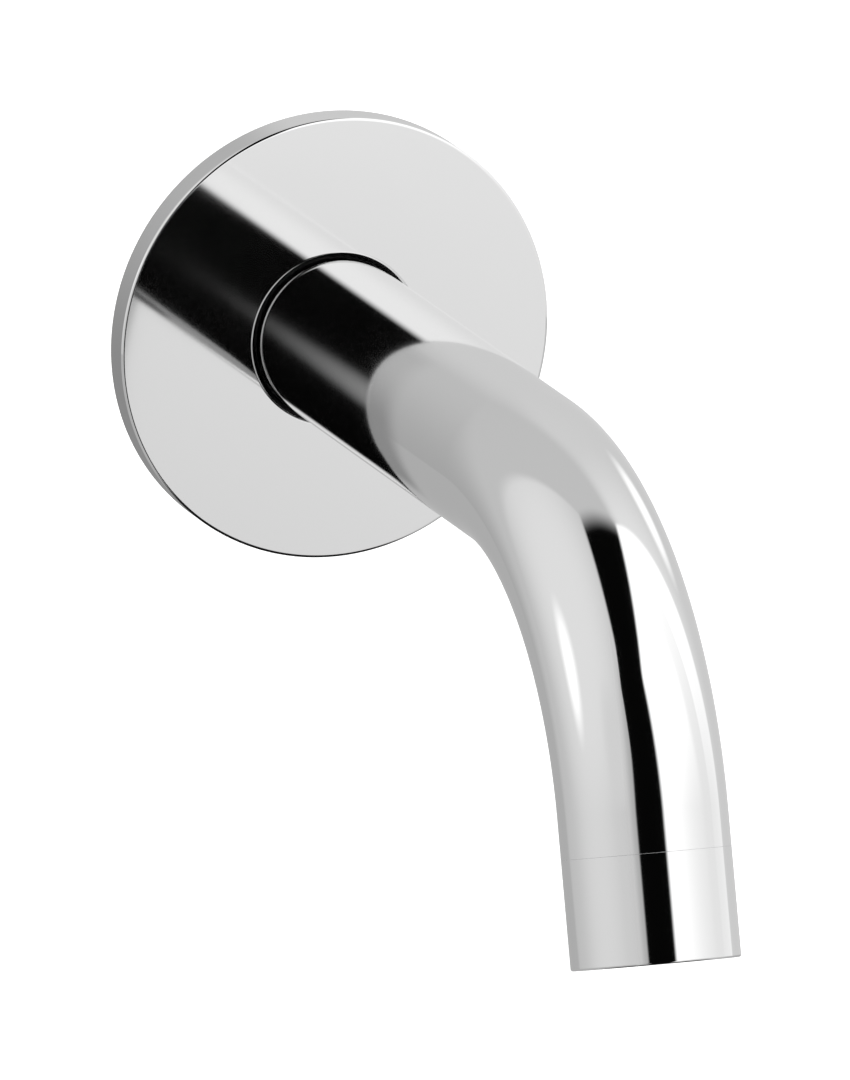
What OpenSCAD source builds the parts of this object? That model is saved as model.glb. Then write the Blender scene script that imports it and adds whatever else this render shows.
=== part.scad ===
// Wall-mounted basin spout: a bent tube with a round wall flange and a flush outlet collar.
// The origin lies on the spout's axis in the plane of the finished wall.
// +Y points into the wall, the tube runs out along -Y and bends down towards -Z.
// Turned pieces are drawn as a section: x is the radius, y the distance along their axis,
// counted from the wall plane behind the flange and from the end of the bend at the outlet.

/* [Spout tube] */
// Outside diameter of the tube
tube_d = 28; // [27.6:0.1:32]
// Wall thickness of the tube
tube_wall = 1.5; // [1.2:0.1:1.7]
// Straight run from the wall to the start of the bend
run_length = 95.7; // [50:0.1:180]
// Radius of the bend's centre line
bend_radius = 60; // [40:0.5:90]
// Angle of the bend
bend_angle = 73.5; // [40:0.5:90]
// Straight stub from the end of the bend to the collar's joint
stub_length = 6.9; // [5:0.1:20]
// Distance from the wall plane to the tube's rear end
tube_setback = 0.6; // [0.3:0.1:1.5]

/* [Wall flange] */
// Outside diameter of the flange
flange_d = 76; // [68:0.5:90]
// Depth of the flange from the wall to its front face
flange_depth = 5.8; // [5.6:0.1:8]
// Radial gap between the flange's bore and the tube
flange_gap = 0.6; // [0.4:0.05:0.8]
// Thickness of the flange's front plate
flange_plate = 2.2; // [1.8:0.1:2.4]
// Thickness of the flange's rim
flange_rim = 2.4; // [1.8:0.1:4]
// Radius of the fillets inside the dished back
dish_fillet = 1; // [0.6:0.1:1.4]
// Radius of the rounded edges on the flange's front
flange_edge = 0.5; // [0.2:0.05:0.6]
// Thickness of the hub's wall outside the ring's groove
hub_wall = 1.4; // [1:0.1:1.8]
// Distance from the wall plane to the hub's rear face
hub_setback = 0.4; // [0.2:0.1:0.8]
// Cross-section diameter of the ring in the flange's bore
flange_ring_section = 2.1; // [2:0.05:2.4]
// Width of the gasket in the dished back
gasket_width = 6; // [4:0.5:8]

/* [Wall nipple] */
// Major diameter of the G 1/2 thread
thread_d = 20.955; // [20.5:0.005:21.4]
// Length of thread that enters the wall fitting
thread_length = 14; // [8:0.5:20]
// Depth of the thread
thread_depth = 1.16; // [0.9:0.01:1.3]
// Diameter of the smooth spigot
spigot_d = 20; // [19.4:0.1:20.4]
// Distance from the wall plane to the spigot's front end
spigot_reach = 32; // [31:0.5:45]
// Diameter of the water bore
spigot_bore = 14; // [13.9:0.1:14.4]
// Width across the flats of the hex through the threaded end
key_af = 12; // [10:0.5:12]
// Diameter of the shoulder
shoulder_d = 24.2; // [23.6:0.1:24.4]
// Thickness of the shoulder
shoulder_length = 2.4; // [2:0.1:3]
// Thickness of the flat ring behind the shoulder
seal_length = 2; // [1.5:0.1:2.6]
// Cross-section diameter of the spigot's sealing rings
ring_section = 2; // [1.8:0.05:2.1]
// Distance between the two sealing rings
ring_pitch = 5; // [4:0.1:6]
// Distance from the spigot's front end to the first sealing ring
ring_inset = 3.4; // [3:0.1:4.5]
// Width of the bevels over which a sealing ring slides into its bore
lead_in = 1.2; // [0.8:0.1:1.4]

/* [Inlet bush and grub screw] */
// Distance from the wall plane to the bush's rear end
bush_start = 6; // [5.7:0.1:7.5]
// How far the bush reaches past the spigot's front end
bush_overrun = 1.5; // [0.5:0.1:4]
// Thread diameter of the grub screw
screw_d = 5; // [4:0.1:5.6]
// Length of the grub screw
screw_length = 4.6; // [4:0.1:4.6]
// Distance from the wall plane to the grub screw's axis
screw_reach = 13; // [11:0.1:15]
// Width across the flats of the grub screw's socket
screw_af = 2.5; // [2:0.1:3]
// Depth of the grub screw's socket
screw_socket = 2; // [1.4:0.1:2.2]
// Radius of the flat end of the screw's cone
screw_tip_r = 0.3; // [0.2:0.05:0.4]
// Depth of the groove that the screw's cone enters
v_depth = 1.3; // [1.1:0.1:1.5]

/* [Outlet collar] */
// Length of the collar
collar_length = 18.2; // [17.4:0.1:26]
// Major diameter of the thread between the outlet spigot and the collar
collar_thread_d = 24; // [23.9:0.05:24.4]
// Length of that thread
collar_thread_length = 6; // [5.4:0.1:6.6]
// Bore of the outlet spigot
outlet_bore = 19; // [18.6:0.1:20]
// Radius of the rounded edge at the collar's end
collar_edge = 0.4; // [0.2:0.05:0.8]
// Distance from the collar's end to the aerator's lower face
outlet_recess = 1.2; // [0.6:0.1:2]

/* [Aerator housing] */
// Thickness of the washer on the housing's rim
washer_length = 1.6; // [1.2:0.1:2]
// Thickness of the housing's rim
rim_length = 1.4; // [1:0.1:1.8]
// Width of the ledge that carries the rim
ledge_width = 0.7; // [0.5:0.05:0.9]
// Width of the air gap round the housing
air_gap = 0.6; // [0.4:0.05:0.7]
// Wall thickness of the housing round the mixing chamber
cup_wall = 1.1; // [1:0.05:1.3]
// Thickness of the lower ledge that carries the screens
cup_ledge = 0.6; // [0.5:0.1:0.8]
// Width of that ledge
cup_ledge_width = 0.7; // [0.5:0.1:0.9]
// Number of air windows, and of the ribs between them
window_count = 8; // [6:1:10]
// Distance from the jet splitter to the air windows
window_drop = 0.5; // [0.3:0.1:0.8]
// Height of an air window
window_height = 1.6; // [1.2:0.1:1.8]
// Width of an air window
window_width = 3; // [2:0.1:3.6]
// Width of a centring rib
rib_width = 1.1; // [0.8:0.1:1.4]
// Distance from the ribs' ends to the housing's lower end
rib_setback = 1; // [0.6:0.1:1.5]

/* [Aerator inserts] */
// Height of the strainer dome above the housing
dome_height = 4.6; // [4.4:0.1:5.4]
// Height of the dome's straight wall
dome_skirt = 1.6; // [1.2:0.1:2]
// Gap between the dome and the outlet spigot's bore
dome_gap = 0.9; // [0.7:0.1:1.1]
// Wall thickness of the strainer dome
dome_wall = 0.7; // [0.6:0.05:0.8]
// Thickness of the strainer dome's foot
dome_foot = 0.8; // [0.6:0.1:1]
// Number of slots in the strainer dome
slot_count = 24; // [16:1:28]
// Width of a strainer slot
slot_width = 0.6; // [0.4:0.05:0.7]
// Radius at which the slots start
slot_start = 3.6; // [3.4:0.1:5]
// Distance from the slots' ends to the dome's foot
slot_foot = 0.4; // [0.3:0.1:0.6]
// Height of the flow regulator
regulator_length = 1.7; // [1.6:0.1:1.8]
// Thickness of the flow regulator's floor
regulator_floor = 0.7; // [0.6:0.05:0.8]
// Radius over the pegs of the flow regulator's core
core_radius = 4.2; // [4:0.1:4.4]
// Number of pegs round the flow regulator's core
peg_count = 10; // [8:1:12]
// Radius of a peg
peg_radius = 0.5; // [0.4:0.05:0.6]
// Width of a slot in the flow regulator's floor
floor_slot_width = 1.1; // [0.8:0.05:1.2]
// Cross-section diameter of the flow regulator's elastic ring
elastic_section = 0.9; // [0.8:0.05:0.95]
// Gap on both sides of the elastic ring
elastic_gap = 0.35; // [0.25:0.05:0.4]
// Thickness of the jet splitter
splitter_length = 1.8; // [1.6:0.1:2]
// Depth of the recess in the jet splitter
splitter_recess = 0.6; // [0.4:0.1:0.8]
// Width of the seat round that recess for the flow regulator
splitter_seat = 0.3; // [0.2:0.05:0.4]
// Number of fine bores in the jet splitter
jet_count = 20; // [12:1:24]
// Diameter of a fine bore
jet_bore = 0.9; // [0.6:0.05:1]
// Distance from the flow regulator's edge to the ring of fine bores
jet_inset = 1; // [0.9:0.1:1.6]
// Thickness of one mixing screen
screen_length = 0.45; // [0.35:0.05:0.5]
// Distance between the wires of a mixing screen
screen_pitch = 1.4; // [1.2:0.1:1.8]
// Width of a screen wire
wire_width = 0.4; // [0.3:0.05:0.5]
// Width of a mixing screen's rim
screen_rim = 0.7; // [0.5:0.1:0.9]
// Cross-section diameter of the screen retainer's wire
retainer_section = 0.8; // [0.7:0.05:0.9]
// Thickness of the outlet grid
grid_length = 2.2; // [1.8:0.1:2.4]
// Width of the outlet grid's rim
grid_rim = 0.6; // [0.5:0.1:1]
// Width across the flats of a honeycomb cell
cell_af = 1.7; // [1.5:0.05:2.2]
// Thickness of the webs between the cells
cell_web = 0.4; // [0.3:0.05:0.5]

/* [Clearances] */
// Radial clearance of the spigot in the inlet bush
spigot_play = 0.1; // [0.05:0.05:0.15]
// Radial clearance of a threaded pair
thread_play = 0.05; // [0.02:0.01:0.1]
// Radial clearance between neighbouring aerator pieces
insert_play = 0.1; // [0.05:0.05:0.15]
// Play of a sealing ring along its groove
groove_play = 0.3; // [0.2:0.05:0.4]
// Radial squeeze of the round sealing rings
ring_squeeze = 0.2; // [0.1:0.05:0.3]
// Clearance of the gasket inside the flange's rim
gasket_play = 1.2; // [1.1:0.1:1.6]
// Width of the fine bevels that break the edges of turned pieces
bevel = 0.3; // [0.2:0.05:0.4]
// Width of the fine bevels on both sides of the collar's joint
joint_bevel = 0.12; // [0.05:0.01:0.2]

/* [Hidden] */
$fn = 96;

// Overshoot of a cut past the face that it opens
over = 1;

// Spout tube
tube_r = tube_d / 2;
tube_inner = tube_r - tube_wall;
sizing_step = 0.002;
sizing_lap = 0.1;

// Wall flange and its ring
flange_r = flange_d / 2;
flange_bore = tube_r + flange_gap;
flange_groove = tube_r + flange_ring_section - ring_squeeze;
groove_width = flange_ring_section + groove_play;
groove_centre = (flange_depth - flange_edge) / 2;
hub_r = flange_groove + hub_wall;
dish_depth = flange_depth - flange_plate;
gasket_r = flange_r - flange_rim - gasket_play;

// Wall nipple
thread_r = thread_d / 2;
spigot_r = spigot_d / 2;
bush_bore = spigot_r + spigot_play;
shoulder_end = seal_length + shoulder_length;
seat_radius = bush_bore - ring_section + ring_squeeze;
ring_groove_width = ring_section + 2 * groove_play;
ring_front = spigot_reach - ring_inset;
ring_rear = ring_front - ring_pitch;
bush_end = spigot_reach + bush_overrun;
screw_tip = spigot_r - v_depth + screw_tip_r + 2 * thread_play;

// Outlet, from the end of the bend
joint = stub_length;
spigot_end = joint + collar_thread_length;
washer_end = spigot_end + washer_length;
rim_end = washer_end + rim_length;
collar_end = joint + collar_length;
cup_end = collar_end - outlet_recess;
collar_thread_bore = collar_thread_d / 2 + thread_play;
rim_r = collar_thread_bore - 3 * insert_play;
collar_bore = rim_r - ledge_width;
cup_r = collar_bore - air_gap;
chamber_r = cup_r - cup_wall;
seat_r = cup_r - cup_wall / 2;
rib_r = collar_bore - insert_play;
rib_end = cup_end - rib_setback;

// Aerator inserts, from the washer down
dome_r = outlet_bore / 2 - dome_gap;
dome_inner = dome_r - dome_wall;
washer_bore = dome_r + 2 * insert_play;
dome_base = washer_end + dome_foot;
dome_top = washer_end - dome_height;
dome_rise = dome_height - dome_skirt;
dome_sphere = (dome_r * dome_r + dome_rise * dome_rise) / (2 * dome_rise);
splitter_end = dome_base + splitter_length;
regulator_r = dome_inner - insert_play;
regulator_top = dome_base - regulator_length;
regulator_ledge = dome_base - regulator_floor;
elastic_radius = core_radius + elastic_gap + elastic_section / 2;
elastic_reach = elastic_radius + elastic_section / 2;
jet_radius = regulator_r - jet_inset;
insert_r = seat_r - insert_play;
screen_r = chamber_r - insert_play;
grid_start = cup_end - grid_length;
screen_base = grid_start - cup_ledge;
screen_middle = screen_base - screen_length;
screen_top = screen_middle - screen_length;
window_top = splitter_end + window_drop;
cell_pitch = cell_af + cell_web;

// Turns a section round the inlet axis, its y counted from the wall plane outwards.
module turned_at_wall() {
    rotate([90, 0, 0]) rotate_extrude() children();
}

// Puts solids at the end of the bend, with +Z along the outlet.
module at_outlet() {
    translate([0, -run_length - bend_radius * sin(bend_angle), -bend_radius * (1 - cos(bend_angle))])
        rotate([90 + bend_angle, 0, 0])
            children();
}

// Turns a section round the outlet axis.
module turned_at_outlet() {
    at_outlet() rotate_extrude() children();
}

// Rectangle of a section, from radius r0 to r1 and from distance z0 to z1.
module band(r0, r1, z0, z1) {
    translate([r0, z0]) square([r1 - r0, z1 - z0]);
}

// Removes a corner of a section at (r, z); dr and dz point into the material.
module bevel_cut(r, z, dr, dz, size) {
    polygon([
        [r - dr * size, z - dz * size],
        [r - dr * size, z + 2 * dz * size],
        [r, z + dz * size],
        [r + dr * size, z],
        [r + 2 * dr * size, z - dz * size]
    ]);
}

// Rounds a corner of a section at (r, z); dr and dz point into the material.
module round_cut(r, z, dr, dz, size) {
    difference() {
        translate([r, z]) square(2 * size, center = true);
        translate([r + dr * size, z + dz * size]) circle(size);
    }
}

// Fills an inner corner of a section at (r, z); dr and dz point into the open side.
module fillet(r, z, dr, dz, size) {
    difference() {
        translate([r + dr * size / 2, z + dz * size / 2]) square(size, center = true);
        translate([r + dr * size, z + dz * size]) circle(size);
    }
}

// Section of a round ring squeezed between two radii.
module squeezed_ring(r0, r1, z, section) {
    intersection() {
        translate([(r0 + r1) / 2, z]) circle(d = section);
        band(r0, r1, z - section, z + section);
    }
}

// Follows the spout's centre line with a disc of radius r, its ends moved out by extra.
// The stub is sized after bending, so it is a hair wider and laps the end of the bend.
module spout_path(r, extra) {
    rotate([90, 0, 0])
        translate([0, 0, tube_setback - extra])
            cylinder(r = r, h = run_length - tube_setback + extra);
    translate([0, -run_length, -bend_radius])
        rotate(a = 180, v = [1, 0, 1])
            rotate_extrude(angle = bend_angle)
                translate([bend_radius, 0])
                    circle(r);
    at_outlet()
        translate([0, 0, -sizing_lap])
            cylinder(r = r + sizing_step, h = stub_length + extra + sizing_lap);
}

// Cylinder on the grub screw's axis, from the distance near below the spout's axis to far.
module screw_bore(r, near, far) {
    translate([0, -screw_reach, -far]) cylinder(r = r, h = far - near);
}

// The bent tube: bevelled ends and the hole of the grub screw on its underside.
module spout_tube() {
    color("silver")
        difference() {
            spout_path(tube_r, 0);
            spout_path(tube_inner, over);
            screw_bore(screw_d / 2 + thread_play, 0, tube_r + over);
            turned_at_wall() bevel_cut(tube_r, tube_setback, -1, 1, bevel);
            turned_at_outlet() bevel_cut(tube_r, joint, -1, -1, joint_bevel);
        }
}

// The flange: front plate, rim and a hub whose groove holds the centring ring.
module wall_flange() {
    color("silver")
        turned_at_wall()
            difference() {
                union() {
                    band(flange_bore, flange_r, dish_depth, flange_depth);
                    band(flange_r - flange_rim, flange_r, 0, flange_depth);
                    band(flange_bore, hub_r, hub_setback, flange_depth);
                    fillet(flange_r - flange_rim, dish_depth, -1, -1, dish_fillet);
                    fillet(hub_r, dish_depth, 1, -1, dish_fillet);
                }
                band(flange_bore - over, flange_groove,
                    groove_centre - groove_width / 2, groove_centre + groove_width / 2);
                round_cut(flange_r, flange_depth, -1, -1, flange_edge);
                round_cut(flange_bore, flange_depth, 1, -1, flange_edge);
                bevel_cut(flange_r, 0, -1, 1, bevel);
                bevel_cut(flange_bore, hub_setback, 1, 1, bevel);
            }
}

// Ring in the flange's bore, squeezed on the tube.
module flange_o_ring() {
    color("dimgray")
        turned_at_wall()
            squeezed_ring(tube_r, flange_groove, groove_centre, flange_ring_section);
}

// Foam ring in the dished back, level with the wall.
module flange_gasket() {
    color("dimgray")
        turned_at_wall()
            band(gasket_r - gasket_width, gasket_r, 0, dish_depth);
}

// The nipple: threaded end, relief for the flat ring, shoulder and smooth spigot, with a hex
// right through the thread.
module wall_nipple() {
    color("goldenrod")
        difference() {
            turned_at_wall()
                difference() {
                    union() {
                        band(0, thread_r, -thread_length, seal_length);
                        band(0, shoulder_d / 2, seal_length, shoulder_end);
                        band(0, spigot_r, shoulder_end, spigot_reach);
                    }
                    band(thread_r - thread_depth, thread_r + over, 0, seal_length);
                    bevel_cut(thread_r, -thread_length, -1, 1, thread_depth);
                    bevel_cut(shoulder_d / 2, shoulder_end, -1, -1, bevel);
                    bevel_cut(spigot_r, spigot_reach, -1, -1, lead_in / 2);
                    ring_groove(ring_rear);
                    ring_groove(ring_front);
                    v_groove();
                    band(0, spigot_bore / 2, shoulder_end, spigot_reach + over);
                    bevel_cut(spigot_bore / 2, spigot_reach, 1, -1, bevel);
                }
            rotate([90, 0, 0])
                translate([0, 0, -thread_length - over])
                    cylinder(d = key_af / cos(30), h = thread_length + shoulder_end + 2 * over, $fn = 6);
        }
}

// Section of a sealing ring's groove in the spigot.
module ring_groove(z) {
    band(seat_radius, spigot_r + over, z - ring_groove_width / 2, z + ring_groove_width / 2);
}

// Section of the groove that the grub screw's cone enters.
module v_groove() {
    polygon([
        [spigot_r - v_depth, screw_reach],
        [spigot_r + over, screw_reach - v_depth - over],
        [spigot_r + over, screw_reach + v_depth + over]
    ]);
}

// Flat ring between the shoulder and the fitting in the wall.
module nipple_seal() {
    color("firebrick")
        turned_at_wall()
            band(thread_r + spigot_play, shoulder_d / 2, 0, seal_length);
}

// Sealing ring on the spigot, squeezed in the inlet bush.
module nipple_ring(z) {
    color("dimgray")
        turned_at_wall()
            squeezed_ring(seat_radius, bush_bore, z, ring_section);
}

module nipple_o_ring_rear() {
    nipple_ring(ring_rear);
}

module nipple_o_ring_front() {
    nipple_ring(ring_front);
}

// Bush brazed into the tube, with a lead-in for the sealing rings and the tapped hole.
module inlet_bush() {
    color("goldenrod")
        difference() {
            turned_at_wall()
                difference() {
                    band(bush_bore, tube_inner, bush_start, bush_end);
                    bevel_cut(bush_bore, bush_start, 1, 1, lead_in);
                    bevel_cut(tube_inner, bush_start, -1, 1, bevel);
                    bevel_cut(tube_inner, bush_end, -1, -1, bevel);
                    bevel_cut(bush_bore, bush_end, 1, -1, bevel);
                }
            screw_bore(screw_d / 2 + thread_play, 0, tube_r + over);
        }
}

// Grub screw with a cone point and a hex socket, driven from below.
module grub_screw() {
    cone = screw_d / 2 - screw_tip_r;
    color("lightslategray")
        translate([0, -screw_reach, -screw_tip - screw_length])
            difference() {
                rotate_extrude()
                    difference() {
                        band(0, screw_d / 2, 0, screw_length);
                        polygon([
                            [screw_tip_r, screw_length],
                            [screw_tip_r + cone + over, screw_length - cone - over],
                            [screw_tip_r + cone + over, screw_length + over],
                            [screw_tip_r, screw_length + over]
                        ]);
                        bevel_cut(screw_d / 2, 0, -1, 1, bevel);
                    }
                translate([0, 0, -over])
                    cylinder(d = screw_af / cos(30), h = screw_socket + over, $fn = 6);
            }
}

// Threaded ring brazed into the tube's outlet end.
module outlet_spigot() {
    color("goldenrod")
        turned_at_outlet()
            difference() {
                union() {
                    band(outlet_bore / 2, tube_inner, bevel, joint);
                    band(outlet_bore / 2, collar_thread_d / 2, joint, spigot_end);
                }
                bevel_cut(outlet_bore / 2, bevel, 1, 1, lead_in);
                bevel_cut(collar_thread_d / 2, spigot_end, -1, -1, bevel);
                bevel_cut(outlet_bore / 2, spigot_end, 1, -1, bevel);
            }
}

// The collar: flush with the tube, threaded on the spigot, with a ledge for the aerator.
module outlet_collar() {
    color("silver")
        turned_at_outlet()
            difference() {
                band(collar_bore, tube_r, joint, collar_end);
                band(collar_bore - over, collar_thread_bore, joint - over, rim_end);
                bevel_cut(tube_r, joint, -1, 1, joint_bevel);
                bevel_cut(collar_thread_bore, joint, 1, 1, bevel);
                round_cut(tube_r, collar_end, -1, -1, collar_edge);
                bevel_cut(collar_bore, collar_end, 1, -1, collar_edge);
            }
}

// Flat seal between the spigot's end and the aerator housing's rim.
module aerator_washer() {
    color("dimgray")
        turned_at_outlet()
            band(washer_bore, rim_r, spigot_end, washer_end);
}

// Section of the dome's outer or inner face: a cap of the given sphere over a short wall.
module dome_section(r, sphere, z_end) {
    intersection() {
        translate([0, dome_top + dome_sphere]) circle(sphere);
        band(0, r, dome_top - over, z_end);
    }
}

// Slotted dome over the aerator, its foot held under the washer.
module strainer_dome() {
    color("gainsboro")
        at_outlet()
            difference() {
                rotate_extrude()
                    difference() {
                        union() {
                            dome_section(dome_r, dome_sphere, dome_base);
                            band(dome_inner, insert_r, washer_end, dome_base);
                        }
                        dome_section(dome_inner, dome_sphere - dome_wall, dome_base + over);
                    }
                for (i = [0 : slot_count - 1])
                    rotate([0, 0, 360 * i / slot_count])
                        translate([slot_start, -slot_width / 2, dome_top - over])
                            cube([dome_r, slot_width, washer_end - slot_foot - dome_top + over]);
            }
}

// Pegged disc: water passes its elastic ring and the slots in its floor.
module flow_regulator() {
    channel_r = elastic_reach + elastic_gap;
    core_r = core_radius - peg_radius;
    color("seagreen")
        at_outlet()
            difference() {
                union() {
                    rotate_extrude() {
                        band(0, regulator_r, regulator_ledge, dome_base);
                        band(channel_r, regulator_r, regulator_top, dome_base);
                        band(0, core_r, regulator_top, dome_base);
                    }
                    for (i = [0 : peg_count - 1])
                        rotate([0, 0, 360 * i / peg_count])
                            translate([core_r, 0, regulator_top])
                                cylinder(r = peg_radius, h = regulator_length, $fn = 24);
                }
                for (i = [0 : peg_count - 1])
                    rotate([0, 0, 360 * (i + 0.5) / peg_count])
                        translate([core_radius, -floor_slot_width / 2, regulator_ledge - over])
                            cube([elastic_reach - core_radius, floor_slot_width, regulator_floor + 2 * over]);
            }
}

// Elastic ring round the regulator's pegs.
module regulator_o_ring() {
    color("dimgray")
        turned_at_outlet()
            translate([elastic_radius, regulator_ledge - elastic_section / 2])
                circle(d = elastic_section);
}

// Disc with a recess and a ring of fine bores that make the jets.
module jet_splitter() {
    color("gainsboro")
        at_outlet()
            difference() {
                rotate_extrude()
                    difference() {
                        band(0, insert_r, dome_base, splitter_end);
                        band(0, regulator_r - splitter_seat, dome_base - over, dome_base + splitter_recess);
                    }
                for (i = [0 : jet_count - 1])
                    rotate([0, 0, 360 * i / jet_count])
                        translate([jet_radius, 0, dome_base])
                            cylinder(d = jet_bore, h = splitter_length + over, $fn = 24);
            }
}

// Cup that holds the inserts: rim, seat, air windows, centring ribs and the screens' ledge.
module aerator_housing() {
    color("whitesmoke")
        at_outlet()
            difference() {
                union() {
                    rotate_extrude()
                        difference() {
                            union() {
                                band(0, rim_r, washer_end, rim_end);
                                band(0, cup_r, rim_end, cup_end);
                            }
                            band(0, seat_r, washer_end - over, splitter_end);
                            band(0, chamber_r, splitter_end - over, screen_base);
                            band(0, chamber_r - cup_ledge_width, screen_base - over, cup_end);
                            band(0, chamber_r, grid_start, cup_end + over);
                            bevel_cut(cup_r, cup_end, -1, -1, bevel);
                        }
                    for (i = [0 : window_count - 1])
                        rotate([0, 0, 360 * i / window_count])
                            translate([seat_r + insert_play, -rib_width / 2, rim_end])
                                cube([rib_r - seat_r - insert_play, rib_width, rib_end - rim_end]);
                }
                for (i = [0 : window_count - 1])
                    rotate([0, 0, 360 * (i + 0.5) / window_count])
                        translate([chamber_r - over, -window_width / 2, window_top])
                            cube([cup_wall + 2 * over, window_width, window_height]);
            }
}

// Sprung wire ring that holds the screens down.
module screen_retainer() {
    gap = 20;
    color("silver")
        at_outlet()
            rotate_extrude(angle = 360 - gap)
                translate([screen_r - retainer_section / 2, screen_top - retainer_section / 2])
                    circle(d = retainer_section);
}

// Woven screen: wires both ways inside a rim.
module mixing_screen(z, turn) {
    wires = floor(screen_r / screen_pitch);
    color("lightgray")
        at_outlet()
            translate([0, 0, z])
                rotate([0, 0, turn])
                    linear_extrude(screen_length) {
                        difference() {
                            circle(screen_r);
                            circle(screen_r - screen_rim);
                        }
                        intersection() {
                            circle(screen_r - screen_rim / 2);
                            union()
                                for (i = [-wires : wires], side = [0, 90])
                                    rotate(side)
                                        translate([-screen_r, i * screen_pitch - wire_width / 2])
                                            square([2 * screen_r, wire_width]);
                        }
                    }
}

module mixing_screen_upper() {
    mixing_screen(screen_top, 0);
}

module mixing_screen_lower() {
    mixing_screen(screen_middle, 45);
}

// Honeycomb at the mouth: hexagonal cells that fit inside its rim.
module outlet_grid() {
    reach = screen_r - grid_rim - cell_af / 2;
    rows = floor(reach / (cell_pitch * cos(30)));
    color("whitesmoke")
        at_outlet()
            translate([0, 0, grid_start])
                linear_extrude(grid_length)
                    difference() {
                        circle(screen_r);
                        for (row = [-rows : rows], column = [-rows - 1 : rows + 1]) {
                            x = (column + (abs(row) % 2) / 2) * cell_pitch;
                            y = row * cell_pitch * cos(30);
                            if (norm([x, y]) <= reach)
                                translate([x, y]) rotate(30) circle(d = cell_af / cos(30), $fn = 6);
                        }
                    }
}

spout_tube();
wall_flange();
flange_o_ring();
flange_gasket();
wall_nipple();
nipple_seal();
nipple_o_ring_rear();
nipple_o_ring_front();
inlet_bush();
grub_screw();
outlet_spigot();
outlet_collar();
aerator_washer();
strainer_dome();
flow_regulator();
regulator_o_ring();
jet_splitter();
aerator_housing();
screen_retainer();
mixing_screen_upper();
mixing_screen_lower();
outlet_grid();
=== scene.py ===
from collections import namedtuple
import math

import bpy
from mathutils import Matrix, Vector


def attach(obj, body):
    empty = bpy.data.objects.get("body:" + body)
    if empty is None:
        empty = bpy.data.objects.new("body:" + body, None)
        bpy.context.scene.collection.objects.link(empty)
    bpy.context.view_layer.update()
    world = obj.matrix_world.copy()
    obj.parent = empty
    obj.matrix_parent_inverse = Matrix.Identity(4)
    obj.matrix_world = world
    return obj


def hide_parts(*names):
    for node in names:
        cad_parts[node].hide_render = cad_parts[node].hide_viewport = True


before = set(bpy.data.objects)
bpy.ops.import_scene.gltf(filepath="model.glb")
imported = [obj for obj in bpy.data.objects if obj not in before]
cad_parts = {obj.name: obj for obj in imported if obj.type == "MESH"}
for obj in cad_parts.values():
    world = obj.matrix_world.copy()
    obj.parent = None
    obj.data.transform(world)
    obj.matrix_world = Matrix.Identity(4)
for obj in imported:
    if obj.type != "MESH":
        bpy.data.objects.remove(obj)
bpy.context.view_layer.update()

# Sizes from the source, in millimetres
MM = 0.001
TUBE_R = 14
TUBE_INNER = 12.5
SETBACK = 0.6
RUN = 95.7
BEND_R = 60
BEND_ANGLE = math.radians(73.5)
STUB = 6.9
BEVEL = 0.3
JOINT_EDGE = 0.03
SCREW_REACH = 13
SCREW_HOLE_R = 2.55
QUARTER = math.pi / 2

X = Vector((1, 0, 0))
OUTWARD = Vector((0, -1, 0))
OUTLET = Vector((0, -math.cos(BEND_ANGLE), -math.sin(BEND_ANGLE)))
BEND_END = Vector((0, -RUN - BEND_R * math.sin(BEND_ANGLE), -BEND_R * (1 - math.cos(BEND_ANGLE))))
SCREW_END = Vector((0, -SCREW_REACH, -13.7))

# Node graphs


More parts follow.
